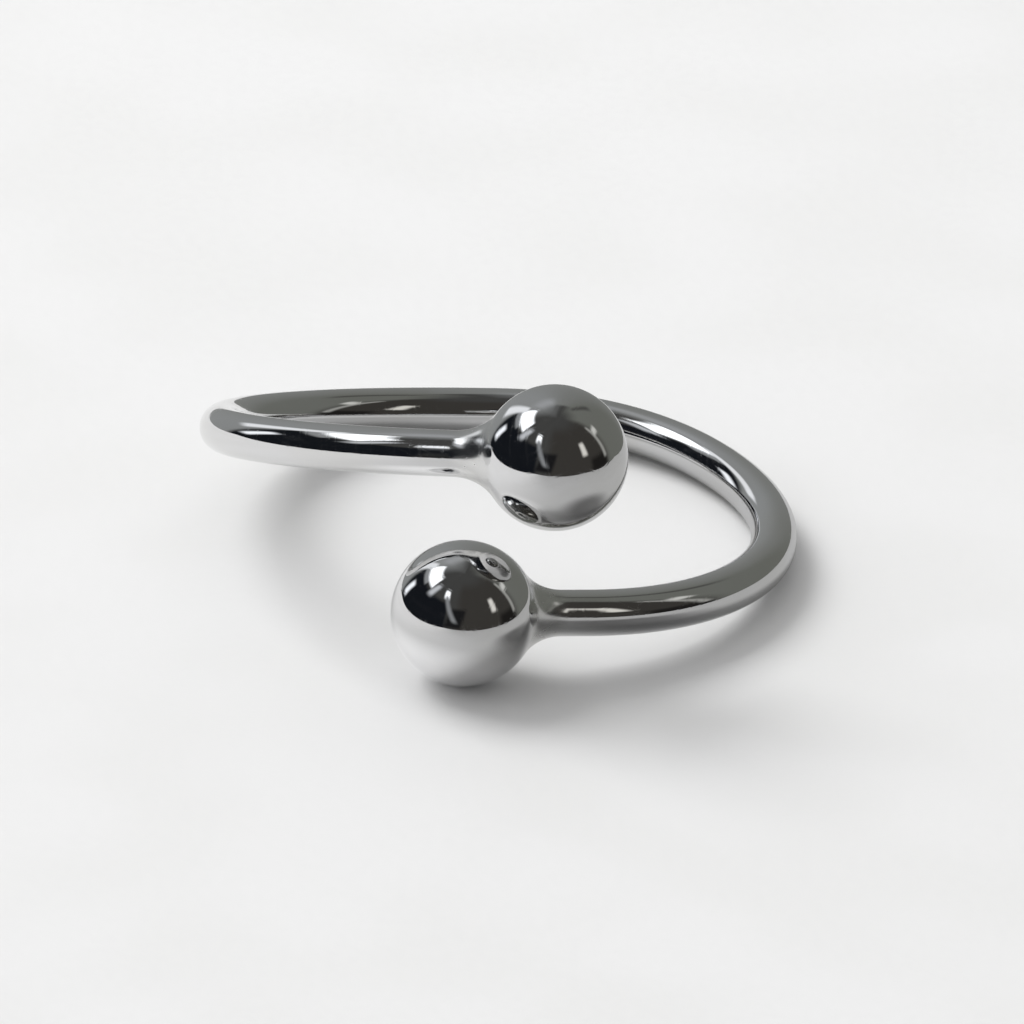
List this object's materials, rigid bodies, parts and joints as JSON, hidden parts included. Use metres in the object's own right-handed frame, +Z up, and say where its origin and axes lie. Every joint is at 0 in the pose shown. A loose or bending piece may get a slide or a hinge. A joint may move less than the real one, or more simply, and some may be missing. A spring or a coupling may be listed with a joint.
{
  "type": "beaded ring",
  "caption": "Open finger ring of round polished wire whose ends pass each other at the front and flare into solid round beads.",
  "frame": {"origin": "middle of the box around the ring, at floor level, with the ring lying as it rests", "axes": "+Z up from the floor it lies on; -Y towards the front, where the two beads pass; +X to the right seen from the front"},
  "size_m": [0.0206, 0.0232, 0.0103],
  "materials": {
    "polished_silver": "mirror-polished silver with fine wear scratches"
  },
  "bodies": {
    "root": {"bead_ring": "polished_silver"}
  },
  "joints": []
}
